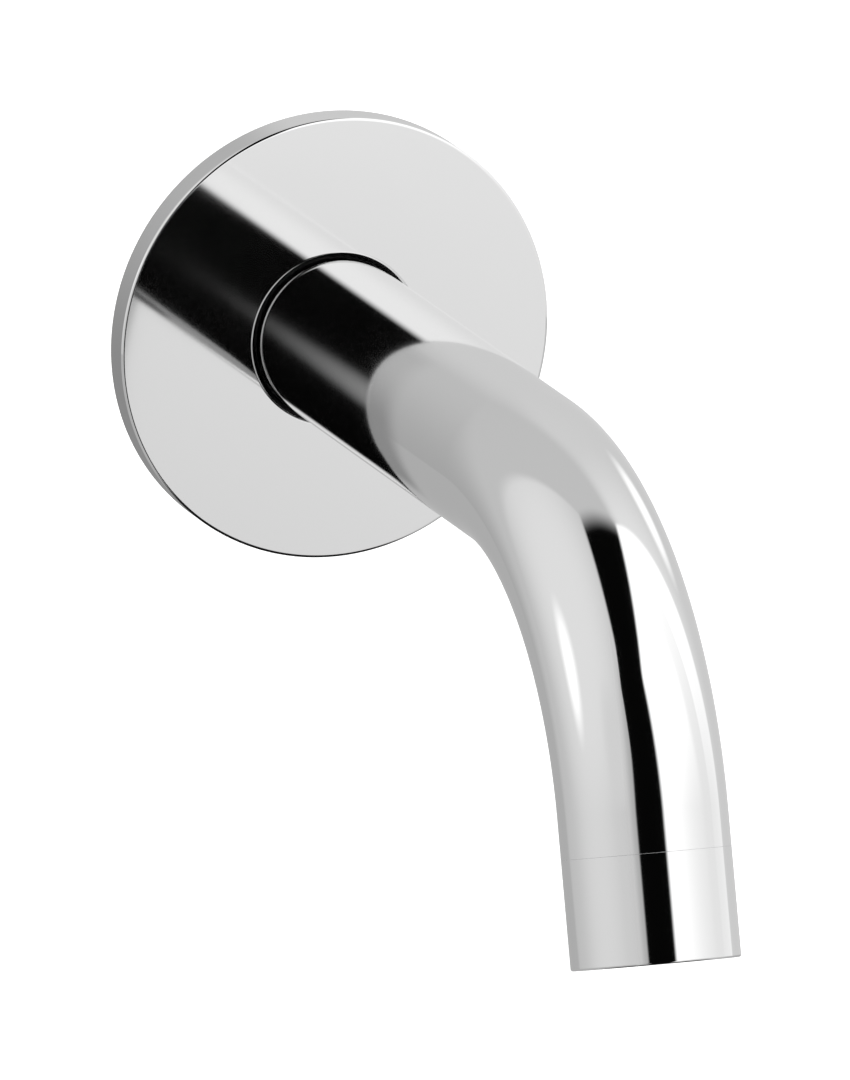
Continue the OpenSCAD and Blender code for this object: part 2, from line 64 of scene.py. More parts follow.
class Graph:
    """Short calls for the nodes of one node tree."""

    def __init__(self, tree):
        self.tree = tree

    def node(self, kind, **settings):
        node = self.tree.nodes.new(kind)
        for name, value in settings.items():
            setattr(node, name, value)
        return node

    def feed(self, socket, value):
        if isinstance(value, bpy.types.NodeSocket):
            self.tree.links.new(value, socket)
        else:
            socket.default_value = value

    def math(self, operation, *values):
        node = self.node("ShaderNodeMath", operation=operation)
        for socket, value in zip(node.inputs, values):
            self.feed(socket, value)
        return node.outputs[0]

    def product(self, *values):
        result = values[0]
        for value in values[1:]:
            result = self.math("MULTIPLY", result, value)
        return result

    def vector_math(self, operation, *values):
        node = self.node("ShaderNodeVectorMath", operation=operation)
        for socket, value in zip(node.inputs, values):
            self.feed(socket, value)
        return node.outputs["Value" if operation in ("DOT_PRODUCT", "LENGTH") else "Vector"]

    def dot(self, vector, direction):
        return self.vector_math("DOT_PRODUCT", vector, direction)

    def smooth(self, value, start, end):
        """0 at start, 1 at end, eased between them."""
        node = self.node("ShaderNodeMapRange", interpolation_type="SMOOTHSTEP")
        for name, number in (("Value", value), ("From Min", start), ("From Max", end)):
            self.feed(node.inputs[name], number)
        return node.outputs["Result"]

    def scaled(self, value, low, high):
        """Takes a value from 0 to 1 to the range from low to high."""
        node = self.node("ShaderNodeMapRange")
        for name, number in (("Value", value), ("To Min", low), ("To Max", high)):
            self.feed(node.inputs[name], number)
        return node.outputs["Result"]

    def place(self):
        """The point on the surface in the shared frame, which turns with the piece."""
        return self.node("ShaderNodeTexCoord").outputs["Object"]

    def front(self):
        """1 on the front of the faces, 0 on their back."""
        return self.math("SUBTRACT", 1, self.node("ShaderNodeNewGeometry").outputs["Backfacing"])

    def noise(self, size, detail=2, vector=None):
        """Cloudy pattern of a size in millimetres."""
        node = self.node("ShaderNodeTexNoise")
        self.feed(node.inputs["Vector"], vector or self.place())
        self.feed(node.inputs["Scale"], 1 / (size * MM))
        self.feed(node.inputs["Detail"], detail)
        return node.outputs["Fac"]

    def bump(self, height, depth):
        """Bump of a depth in millimetres."""
        node = self.node("ShaderNodeBump")
        self.feed(node.inputs["Height"], height)
        self.feed(node.inputs["Distance"], depth * MM)
        return node.outputs["Normal"]

    def blend(self, factor, first, second):
        """A colour between two, at the mix node's own numbers for its colour sockets."""
        first_socket, second_socket, result = 6, 7, 2
        node = self.node("ShaderNodeMix", data_type="RGBA")
        self.feed(node.inputs["Factor"], factor)
        self.feed(node.inputs[first_socket], (*first, 1))
        self.feed(node.inputs[second_socket], (*second, 1))
        return node.outputs[result]

    def over(self, level, mask, below):
        """A level in front of what lies below it."""
        rest = self.math("MULTIPLY", below, self.math("SUBTRACT", 1, mask))
        return self.math("ADD", self.math("MULTIPLY", level, mask), rest)


# Materials


def new_material(name, **settings):
    """Material with a principled shader; settings are socket names with _ for spaces."""
    material = bpy.data.materials.new(name)
    material.use_nodes = True
    shader = material.node_tree.nodes["Principled BSDF"]
    for socket, value in settings.items():
        shader.inputs[socket.replace("_", " ")].default_value = value
    return material, Graph(material.node_tree), shader


def chrome():
    """Polished plate: a clean mirror with a breath of wiping haze, satin on the edges of the joint."""
    material, graph, shader = new_material("chrome", Base_Color=(0.75, 0.75, 0.75, 1), Metallic=1,
                                           Specular_Tint=(0.88, 0.88, 0.88, 1))
    edge, satin_roughness = JOINT_EDGE * MM, 0.5
    along = graph.dot(graph.vector_math("SUBTRACT", graph.place(), BEND_END * MM), OUTLET)
    from_joint = graph.math("ABSOLUTE", graph.math("SUBTRACT", along, STUB * MM))
    satin = graph.smooth(from_joint, 1.2 * edge, edge)
    haze = graph.scaled(graph.noise(6, 4), 0.045, 0.065)
    graph.feed(shader.inputs["Roughness"], graph.over(satin_roughness, satin, haze))
    return material


def turned_metal(name, bright, dull, point, axis, roughness):
    """Metal from the lathe: fine rings round the axis through the point, in millimetres."""
    marks_per_metre, mark_depth = 9000, 0.012
    material, graph, shader = new_material(name, Metallic=1)
    from_point = graph.vector_math("SUBTRACT", graph.place(), point * MM)
    along = graph.dot(from_point, axis)
    radius = graph.vector_math("LENGTH", graph.vector_math("CROSS_PRODUCT", from_point, axis))
    rings = graph.node("ShaderNodeTexNoise", noise_dimensions="1D")
    graph.feed(rings.inputs["W"], graph.math("ADD", along, radius))
    graph.feed(rings.inputs["Scale"], marks_per_metre)
    graph.feed(rings.inputs["Detail"], 3)
    marks = rings.outputs["Fac"]
    graph.feed(shader.inputs["Base Color"], graph.blend(graph.noise(2.5, 3), bright, dull))
    graph.feed(shader.inputs["Roughness"], graph.scaled(marks, roughness - 0.08, roughness + 0.1))
    graph.feed(shader.inputs["Normal"], graph.bump(marks, mark_depth))
    return material


def wire_steel():
    """Drawn stainless wire, slightly uneven in its polish."""
    material, graph, shader = new_material("wire_steel", Base_Color=(0.62, 0.62, 0.63, 1), Metallic=1)
    graph.feed(shader.inputs["Roughness"], graph.scaled(graph.noise(0.3, 3), 0.18, 0.4))
    graph.feed(shader.inputs["Normal"], graph.bump(graph.noise(0.08, 2), 0.003))
    return material


def rubber():
    """Moulded black rubber with a dry, powdery sheen."""
    material, graph, shader = new_material("black_rubber", Specular_IOR_Level=0.4)
    cloud = graph.noise(1.5, 5)
    graph.feed(shader.inputs["Base Color"], graph.blend(cloud, (0.022, 0.022, 0.023), (0.042, 0.042, 0.043)))
    graph.feed(shader.inputs["Roughness"], graph.scaled(cloud, 0.42, 0.62))
    graph.feed(shader.inputs["Normal"], graph.bump(graph.noise(0.12, 3), 0.006))
    return material


def foam():
    """Closed-cell foam: small round cells of uneven size, with painted shade darkening their hollows."""
    cell_size, cell_depth = 0.45, 0.12
    material, graph, shader = new_material("grey_foam", Roughness=0.9, Specular_IOR_Level=0.25)
    cells = graph.node("ShaderNodeTexVoronoi")
    graph.feed(cells.inputs["Vector"], graph.place())
    graph.feed(cells.inputs["Scale"], 1 / (cell_size * MM))
    # depth runs from 0 at the bottom of each cell's hollow to 1 at its rim; it raises the bump, and as
    # painted shade it also darkens the hollows
    depth = graph.smooth(cells.outputs["Distance"], 0.1, 0.7)
    graph.feed(shader.inputs["Base Color"], graph.blend(depth, (0.075, 0.075, 0.083), (0.16, 0.16, 0.17)))
    graph.feed(shader.inputs["Normal"], graph.bump(depth, cell_depth))
    return material


def fibre():
    """Pressed fibre: matted strands under a dull red."""
    material, graph, shader = new_material("red_fibre", Roughness=0.85, Specular_IOR_Level=0.3)
    drift = graph.vector_math("MULTIPLY", graph.place(), (1, 1, 0.2))
    strands = graph.noise(0.35, 6, drift)
    graph.feed(shader.inputs["Base Color"], graph.blend(strands, (0.34, 0.055, 0.035), (0.58, 0.14, 0.1)))
    graph.feed(shader.inputs["Normal"], graph.bump(strands, 0.05))
    return material


def plastic(name, colour, shade):
    """Moulded plastic with a fine spark-eroded grain and faint flow clouds."""
    material, graph, shader = new_material(name, Specular_IOR_Level=0.45)
    graph.feed(shader.inputs["Base Color"], graph.blend(graph.noise(4, 3), colour, shade))
    graph.feed(shader.inputs["Roughness"], graph.scaled(graph.noise(0.6, 4), 0.36, 0.52))
    graph.feed(shader.inputs["Normal"], graph.bump(graph.noise(0.09, 3), 0.008))
    return material


def dress(material, *nodes):
    """Gives the CAD nodes the material."""
    for node in nodes:
        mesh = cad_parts[node].data
        mesh.materials.clear()
        mesh.materials.append(material)


BRASS = ((0.83, 0.65, 0.34), (0.73, 0.55, 0.26))
STEEL = ((0.65, 0.65, 0.66), (0.57, 0.57, 0.58))
CHROME = chrome()
INLET_BRASS = turned_metal("inlet_brass", *BRASS, Vector((0, 0, 0)), OUTWARD, 0.26)
OUTLET_BRASS = turned_metal("outlet_brass", *BRASS, BEND_END, OUTLET, 0.26)
SCREW_STEEL = turned_metal("screw_steel", *STEEL, SCREW_END, Vector((0, 0, 1)), 0.3)
WIRE_STEEL = wire_steel()

dress(INLET_BRASS, "inlet_bush")
dress(WIRE_STEEL, "screen_retainer")
dress(rubber(), "flange_o_ring", "nipple_o_ring_rear", "nipple_o_ring_front", "aerator_washer",
      "regulator_o_ring")
dress(foam(), "flange_gasket")
dress(fibre(), "nipple_seal")
dress(plastic("white_plastic", (0.86, 0.86, 0.84), (0.82, 0.82, 0.79)), "aerator_housing", "outlet_grid")
dress(plastic("grey_plastic", (0.52, 0.53, 0.54), (0.46, 0.47, 0.48)), "strainer_dome", "jet_splitter")
dress(plastic("green_plastic", (0.1, 0.44, 0.25), (0.08, 0.38, 0.21)), "flow_regulator")

# Pieces


class Surface:
    """Points and faces of one mesh, in millimetres. Faces marked as round carry exact normals."""

    def __init__(self):
        self.points = []
        self.normals = []
        self.faces = []
        self.is_round = []

    def point(self, place, normal=None):
        self.points.append(place)
        self.normals.append(normal)
        return len(self.points) - 1

    def face(self, *corners, is_round=False):
        self.faces.append(corners)
        self.is_round.append(is_round)

    def piece(self, name, node, slot, material, sharp=40):
        """Makes the object that stands for the CAD node; edges over sharp degrees show."""
        mesh = bpy.data.meshes.new(name)
        mesh.from_pydata([point * MM for point in self.points], [], self.faces)
        mesh.shade_smooth()
        if any(self.is_round):
            normals = []
            for polygon, is_round in zip(mesh.polygons, self.is_round):
                for vertex in polygon.vertices:
                    normals.append(self.normals[vertex] if is_round else polygon.normal)
            mesh.normals_split_custom_set(normals)
        else:
            mesh.set_sharp_from_angle(angle=math.radians(sharp))
        mesh.materials.append(material)
        piece = bpy.data.objects.new(name, mesh)
        bpy.context.scene.collection.objects.link(piece)
        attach(piece, "root")
        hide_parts(node)
        return piece


Row = namedtuple("Row", "distance radius tilt")


def round_row(distance, radius, tilt=None):
    """Round row; tilt is the direction of its normal, from outward (0) towards forward (90 degrees)."""
    return Row(distance, lambda angle: radius, tilt)


def hex_row(distance, across_flats):
    """Row of a hexagonal hole."""
    sixth = math.pi / 3
    return Row(distance, lambda angle: across_flats / 2 / math.cos(angle % sixth - sixth / 2), None)


def arc_rows(distance, radius, size, start, end, steps=3):
    """Rows over a rounded edge with its centre at (distance, radius), between two tilts."""
    rows = []
    for k in range(steps + 1):
        tilt = start + (end - start) * k / steps
        rows.append(round_row(distance + size * math.sin(tilt), radius + size * math.cos(tilt), tilt))
    return rows


def is_round_strip(row, after):
    """Whether the strip between two rows follows the normals that both of them give."""
    if row.tilt is None or after.tilt is None:
        return False
    slack = 0.3
    rise = after.radius(0) - row.radius(0)
    run = after.distance - row.distance
    tilt = (row.tilt + after.tilt) / 2
    return abs(rise * math.cos(tilt) + run * math.sin(tilt)) < slack * math.hypot(rise, run)


def straight(origin, up, forward):
    """Section of a straight axis: its centre, upward and forward direction at a distance."""
    return lambda distance: (origin + forward * distance, up, forward)


def spout_section(distance):
    """Section of the bent tube at a distance along its centre line."""
    angle = min(max((distance - RUN) / BEND_R, 0), BEND_ANGLE)
    up = Vector((0, -math.sin(angle), math.cos(angle)))
    forward = Vector((0, -math.cos(angle), -math.sin(angle)))
    centre = Vector((0, -min(distance, RUN) - BEND_R * math.sin(angle), -BEND_R * (1 - math.cos(angle))))
    return centre + forward * max(distance - RUN - BEND_R * BEND_ANGLE, 0), up, forward


INLET_AXIS = straight(Vector((0, 0, 0)), Vector((0, 0, 1)), OUTWARD)
OUTLET_AXIS = straight(BEND_END, OUTLET.cross(X), OUTLET)
SCREW_AXIS = straight(SCREW_END, Vector((0, 1, 0)), Vector((0, 0, 1)))


def sweep(surface, rows, section, columns=144, capped=False, left_out=()):
    """Closed grid of rows round an axis, less the cells left out; capped closes both ends at the axis."""
    grid = {}
    for row, (distance, radius, tilt) in enumerate(rows):
        centre, up, forward = section(distance)
        for column in range(columns):
            angle = 2 * math.pi * column / columns
            ray = X * math.cos(angle) + up * math.sin(angle)
            normal = None if tilt is None else ray * math.cos(tilt) + forward * math.sin(tilt)
            grid[row, column] = surface.point(centre + ray * radius(angle), normal)
    for row in range(len(rows) - 1 if capped else len(rows)):
        after = (row + 1) % len(rows)
        is_round = is_round_strip(rows[row], rows[after])
        for column in range(columns):
            if (row, column) not in left_out:
                beside = (column + 1) % columns
                surface.face(grid[row, column], grid[row, beside], grid[after, beside], grid[after, column],
                             is_round=is_round)
    if capped:
        last = len(rows) - 1
        bottom, top = (surface.point(section(rows[end].distance)[0]) for end in (0, last))
        for column in range(columns):
            beside = (column + 1) % columns
            surface.face(bottom, grid[0, beside], grid[0, column])
            surface.face(grid[last, column], grid[last, beside], top)
    return grid


def block_edge(rows, columns):
    """Grid places round a block of cells, in order."""
    way = [(rows[0], column) for column in columns[:-1]]
    way += [(row, columns[-1]) for row in rows[:-1]]
    way += [(rows[-1], column) for column in reversed(columns[1:])]
    way += [(row, columns[0]) for row in reversed(rows[1:])]
    return way


def add_hole_rings(surface, rows, grid, way, turns, radius, side):
    """Rings of faces from the screw's hole out to the edge of the block; returns the hole's edge."""
    ring_count = 6
    rings = []
    for ring in range(ring_count):
        share = ring / ring_count
        ids = []
        for place, turn in zip(way, turns):
            across = SCREW_HOLE_R * math.cos(turn) * (1 - share) + surface.points[grid[place]].x * share
            distance = (SCREW_REACH + SCREW_HOLE_R * math.sin(turn)) * (1 - share)
            distance += rows[place[0]].distance * share
            below = -math.sqrt(radius ** 2 - across ** 2)
            normal = Vector((across, 0, below)) / radius * side
            ids.append(surface.point(Vector((across, -distance, below)), normal))
        rings.append(ids)
    rings.append([grid[place] for place in way])
    for inner, outer in zip(rings, rings[1:]):
        for k in range(len(way)):
            after = (k + 1) % len(way)
            surface.face(inner[k], outer[k], outer[after], inner[after], is_round=True)
    return rings[0]


def add_tube():
    """The bent tube as one fine grid: outer skin, front end, bore and rear end, and the screw's hole."""
    columns, under, half_columns = 240, 180, 11
    block_reach, block_steps, run_steps, bend_steps = 4, 20, 10, 72
    block_columns = list(range(under - half_columns, under + half_columns + 1))
    bend_length = BEND_R * BEND_ANGLE
    length = RUN + bend_length + STUB
    block = [SCREW_REACH + block_reach * (2 * k / block_steps - 1) for k in range(block_steps + 1)]
    run = [block[-1] + (RUN - block[-1]) * k / run_steps for k in range(1, run_steps + 1)]
    stations = block + run + [RUN + bend_length * k / bend_steps for k in range(1, bend_steps + 1)]

    rows = [round_row(SETBACK, TUBE_R - BEVEL), round_row(SETBACK + BEVEL, TUBE_R, 0)]
    outer_start = len(rows)
    rows += [round_row(distance, TUBE_R, 0) for distance in stations]
    rows += arc_rows(length - JOINT_EDGE, TUBE_R - JOINT_EDGE, JOINT_EDGE, 0, QUARTER)
    rows += [round_row(length, TUBE_INNER, math.pi)]
    rows += [round_row(distance, TUBE_INNER, math.pi) for distance in reversed(stations)]
    inner_end = len(rows)
    rows += [round_row(SETBACK, TUBE_INNER, math.pi)]

    outer_block = list(range(outer_start, outer_start + block_steps + 1))
    inner_block = list(range(inner_end - block_steps - 1, inner_end))
    left_out = {(row, column) for block_rows in (outer_block, inner_block)
                for row in block_rows[:-1] for column in block_columns[:-1]}
    surface = Surface()
    grid = sweep(surface, rows, spout_section, columns, left_out=left_out)

    edges = []
    for block_rows, radius, side in ((outer_block, TUBE_R, 1), (inner_block, TUBE_INNER, -1)):
        way = block_edge(block_rows, block_columns)
        turns = [math.atan2((rows[row].distance - SCREW_REACH) / block_reach, (column - under) / half_columns)
                 for row, column in way]
        ids = add_hole_rings(surface, rows, grid, way, turns, radius, side)
        edges.append({round(turn, 4): point for turn, point in zip(turns, ids)})
    outer, inner = edges
    turns = list(outer)
    for turn, after in zip(turns, turns[1:] + turns[:1]):
        surface.face(outer[turn], outer[after], inner[after], inner[turn])
    surface.piece("spout_tube_fine", "spout_tube", "polished_chrome", CHROME)


def add_collar():
    """The outlet collar with softly rounded edges, which catch the light at the joint."""
    end, ledge, thread_bore, bore, edge = 25.1, 15.9, 12.05, 11.05, 0.4
    rows = arc_rows(STUB + JOINT_EDGE, TUBE_R - JOINT_EDGE, JOINT_EDGE, -QUARTER, 0)
    rows += arc_rows(end - edge, TUBE_R - edge, edge, 0, QUARTER, 6)
    rows += [round_row(end, bore + edge), round_row(end - edge, bore, math.pi)]
    rows += [round_row(ledge, bore, math.pi), round_row(ledge, thread_bore, math.pi)]
    rows += [round_row(STUB + BEVEL, thread_bore, math.pi), round_row(STUB, thread_bore + BEVEL)]
    surface = Surface()
    sweep(surface, rows, OUTLET_AXIS, columns=240)
    surface.piece("outlet_collar_fine", "outlet_collar", "polished_chrome", CHROME)


def add_flange():
    """The wall flange, dished at the back, with its fine front edges."""
    radius, bore, front, edge = 38, 14.6, 5.8, 0.5
    groove, groove_start, groove_end = 15.9, 1.45, 3.85
    hub, hub_setback, dish, ceiling, fillet = 17.3, 0.4, 35.6, 3.6, 1
    rows = [round_row(0, radius - BEVEL), round_row(BEVEL, radius, 0)]
    rows += arc_rows(front - edge, radius - edge, edge, 0, QUARTER, 8)
    rows += arc_rows(front - edge, bore + edge, edge, QUARTER, math.pi, 8)
    rows += [round_row(groove_end, bore, math.pi), round_row(groove_end, groove)]
    rows += [round_row(groove_start, groove), round_row(groove_start, bore)]
    rows += [round_row(hub_setback + BEVEL, bore), round_row(hub_setback, bore + BEVEL)]
    rows += [round_row(hub_setback, hub, 0)]
    rows += arc_rows(ceiling - fillet, hub + fillet, -fillet, 0, -QUARTER)
    rows += arc_rows(ceiling - fillet, dish - fillet, -fillet, -QUARTER, -math.pi)
    rows += [round_row(0, dish, -math.pi)]
    surface = Surface()
    sweep(surface, rows, INLET_AXIS, columns=360)
    surface.piece("wall_flange_fine", "wall_flange", "polished_chrome", CHROME)


def thread_height(phase):
    """Whitworth form, 0 at the root and 1 at the crest; one turn takes the phase from 0 to 1."""
    rounding, depth, flank_angle = 0.137329, 0.640327, 27.5
    place = abs(2 * (phase % 1) - 1)
    if place < 0.5:
        return 1 - thread_height(phase + 0.5)
    from_crest = (1 - place) / 2 / rounding
    if from_crest < math.cos(math.radians(flank_angle)):
        return 1 - rounding / depth * (1 - math.sqrt(1 - from_crest ** 2))
    return 1.5 * place - 0.25


def thread_rows(start, end, pitch, depth, crest, limit):
    """Rows of a right-hand thread; limit gives the largest radius at a distance."""
    def row(z):
        def radius(angle):
            return min(limit(z), crest - depth * (1 - thread_height(z / pitch - angle / 2 / math.pi)))
        return Row(z, radius, None)
    rows_per_turn = 24
    count = math.ceil((end - start) / pitch * rows_per_turn)
    return [row(start + (end - start) * k / count) for k in range(count + 1)]


def add_nipple():
    """The wall nipple with its G 1/2 thread."""
    crest, root, pitch, start = 10.4775, 9.3175, 1.814, -14
    shoulder, shoulder_start, shoulder_end = 12.1, 2, 4.4
    spigot, spigot_end, spigot_bore, lead_in, hex_key = 10, 32, 7, 0.6, 12
    notch, groove, groove_width, groove_starts = 1.3, 8.3, 2.6, (22.3, 27.3)
    rows = thread_rows(start, 0, pitch, crest - root, crest, lambda z: root + z - start)
    outline = [(0, root), (shoulder_start, root), (shoulder_start, shoulder)]
    outline += [(shoulder_end - BEVEL, shoulder), (shoulder_end, shoulder - BEVEL), (shoulder_end, spigot)]
    outline += [(SCREW_REACH - notch, spigot), (SCREW_REACH, spigot - notch), (SCREW_REACH + notch, spigot)]
    for low in groove_starts:
        high = low + groove_width
        outline += [(low, spigot), (low, groove), (high, groove), (high, spigot)]
    outline += [(spigot_end - lead_in, spigot), (spigot_end, spigot - lead_in)]
    outline += [(spigot_end, spigot_bore + BEVEL), (spigot_end - BEVEL, spigot_bore)]
    outline += [(shoulder_end, spigot_bore)]
    rows += [round_row(distance, radius) for distance, radius in outline]
    rows += [hex_row(shoulder_end, hex_key), hex_row(start, hex_key)]
    surface = Surface()
    sweep(surface, rows, INLET_AXIS)
    surface.piece("wall_nipple_threaded", "wall_nipple", "turned_brass", INLET_BRASS)


def add_outlet_spigot():
    """The ring in the tube's front end, with the fine thread that the collar screws on."""
    end, crest, bore, lead_in = 12.9, 12, 9.5, 1.2
    pitch, depth = 1, 0.6
    rows = [round_row(BEVEL, TUBE_INNER), round_row(STUB, TUBE_INNER)]
    rows += thread_rows(STUB, end, pitch, depth, crest, lambda z: min(crest, crest + end - z - BEVEL))
    outline = [(end, bore + BEVEL), (end - BEVEL, bore), (BEVEL + lead_in, bore), (BEVEL, bore + lead_in)]
    rows += [round_row(distance, radius) for distance, radius in outline]
    surface = Surface()
    sweep(surface, rows, OUTLET_AXIS)
    surface.piece("outlet_spigot_threaded", "outlet_spigot", "turned_brass", OUTLET_BRASS)


def add_grub_screw():
    """The grub screw with its thread, hex socket and cone."""
    socket, socket_depth, cone_start, cone_overrun, end, tip = 2.5, 2, 2.4, 0.4, 4.6, 0.3
    crest, pitch, depth = 2.5, 0.8, 0.49
    rows = [hex_row(socket_depth, socket), hex_row(0, socket), round_row(0, crest - BEVEL)]
    rows += thread_rows(BEVEL / 2, cone_start + cone_overrun, pitch, depth, crest,
                        lambda z: min(crest - BEVEL + z, crest + cone_start - z))
    rows += [round_row(end, tip)]
    surface = Surface()
    sweep(surface, rows, SCREW_AXIS, capped=True)
    surface.piece("grub_screw_threaded", "grub_screw", "stainless_steel", SCREW_STEEL)


def add_wire(surface, centre, along, across, lift, reach, pitch, wire_r):
    """One wavy wire of a woven screen; lift is how far it rises where it passes over another."""
    sides, steps = 6, 4
    count = math.ceil(2 * reach / pitch * steps)
    rings = []
    for k in range(count + 1):
        x = reach * (2 * k / count - 1)
        middle = centre + along * x + lift * math.cos(math.pi * x / pitch)
        ring = []
        for side in range(sides):
            angle = 2 * math.pi * side / sides
            ray = across * math.cos(angle) + OUTLET * math.sin(angle)
            ring.append(surface.point(middle + ray * wire_r))
        rings.append(ring)
    for ring, after in zip(rings, rings[1:]):
        for side in range(sides):
            beside = (side + 1) % sides
            surface.face(ring[side], ring[beside], after[beside], after[side])
    surface.face(*reversed(rings[0]))
    surface.face(*rings[-1])


def add_screen(name, node, start, turn):
    """Woven screen: wires over and under one another in a pressed rim."""
    radius, rim, thickness, pitch, wire_r = 9.25, 0.7, 0.45, 0.9, 0.11
    inner, end = radius - rim, start + thickness
    surface = Surface()
    edge = [(start, radius), (end, radius), (end, inner), (start, inner)]
    sweep(surface, [round_row(*corner) for corner in edge], OUTLET_AXIS)
    middle, side, forward = OUTLET_AXIS(start + thickness / 2)
    along = X * math.cos(turn) + side * math.sin(turn)
    across = forward.cross(along)
    wires = int(inner / pitch)
    for direction, beside, sign in ((along, across, 1), (across, -along, -1)):
        for k in range(-wires, wires + 1):
            reach = math.sqrt((radius - rim / 2) ** 2 - (k * pitch) ** 2)
            lift = forward * wire_r * sign * (-1) ** k
            add_wire(surface, middle + beside * k * pitch, direction, beside, lift, reach, pitch, wire_r)
    surface.piece(name, node, "stainless_steel", WIRE_STEEL, sharp=62)


# Camera


def add_camera():
    """The photograph's camera, solved from its outlines."""
    image_height, focal_px, sensor = 1080, 28426, 36
    place = Vector((-1.588877, -4.32979, 1.207833))
    heading, pitch, roll = -0.35547, -0.26348, -0.0108
    turn = Matrix.Rotation(heading, 3, "Z") @ Matrix.Rotation(pitch, 3, "X") @ Matrix.Rotation(roll, 3, "Y")
    right, forward, up = (turn @ Vector(axis) for axis in ((1, 0, 0), (0, 1, 0), (0, 0, 1)))
    data = bpy.data.cameras.new("camera")
    data.sensor_width = sensor
    data.lens = focal_px / image_height * sensor
    data.clip_start = 0.5
    data.clip_end = 50
    camera = bpy.data.objects.new("camera", data)
    camera.matrix_world = Matrix.Translation(place) @ Matrix((right, up, -forward)).transposed().to_4x4()
    bpy.context.scene.collection.objects.link(camera)
    bpy.context.scene.camera = camera


# Studio


def toward(azimuth, elevation=0):
    """Unit vector: azimuth 0 faces the spout's mouth along -Y, and +90 lies along +X."""
    a, e = math.radians(azimuth), math.radians(elevation)
    return Vector((math.sin(a) * math.cos(e), -math.cos(a) * math.cos(e), math.sin(e)))


def sheet(graph, direction, azimuth, sides, top, soft):
    """Mask of an upright sheet at unit distance that faces the object from the azimuth.

    sides are its left and right edge and top its upper one, in units of that distance, and soft
    gives how soft these three edges are.
    """
    facing = graph.dot(direction, toward(azimuth))
    front = graph.math("MAXIMUM", facing, 1e-4)
    across = graph.math("DIVIDE", graph.dot(direction, toward(azimuth + 90)), front)
    up = graph.math("DIVIDE", graph.dot(direction, (0, 0, 1)), front)
    left = graph.smooth(across, sides[0] - soft[0], sides[0] + soft[0])
    right = graph.smooth(across, sides[1] + soft[1], sides[1] - soft[1])
    below = graph.smooth(up, top + soft[2], top - soft[2])
    return graph.product(left, right, below, graph.math("GREATER_THAN", facing, 0))


def glow(graph, direction, azimuth, elevation, radius, soft):
    """Mask of a round patch, its radius and soft edge in degrees."""
    towards = graph.dot(direction, toward(azimuth, elevation))
    start, end = (math.cos(math.radians(radius + side * soft)) for side in (1, -1))
    return graph.smooth(towards, start, end)


def spot(graph, direction, azimuth, elevation, half_width, half_height, soft):
    """Mask of an oval lamp, its half width and height in units of its distance."""
    front = graph.math("MAXIMUM", graph.dot(direction, toward(azimuth, elevation)), 1e-4)
    across = graph.dot(direction, toward(azimuth + 90) / half_width)
    up = graph.dot(direction, toward(azimuth, elevation + 90) / half_height)
    out = graph.math("SQRT", graph.math("ADD", graph.product(across, across), graph.product(up, up)))
    return graph.smooth(graph.math("DIVIDE", out, front), 1 + soft, 1 - soft)


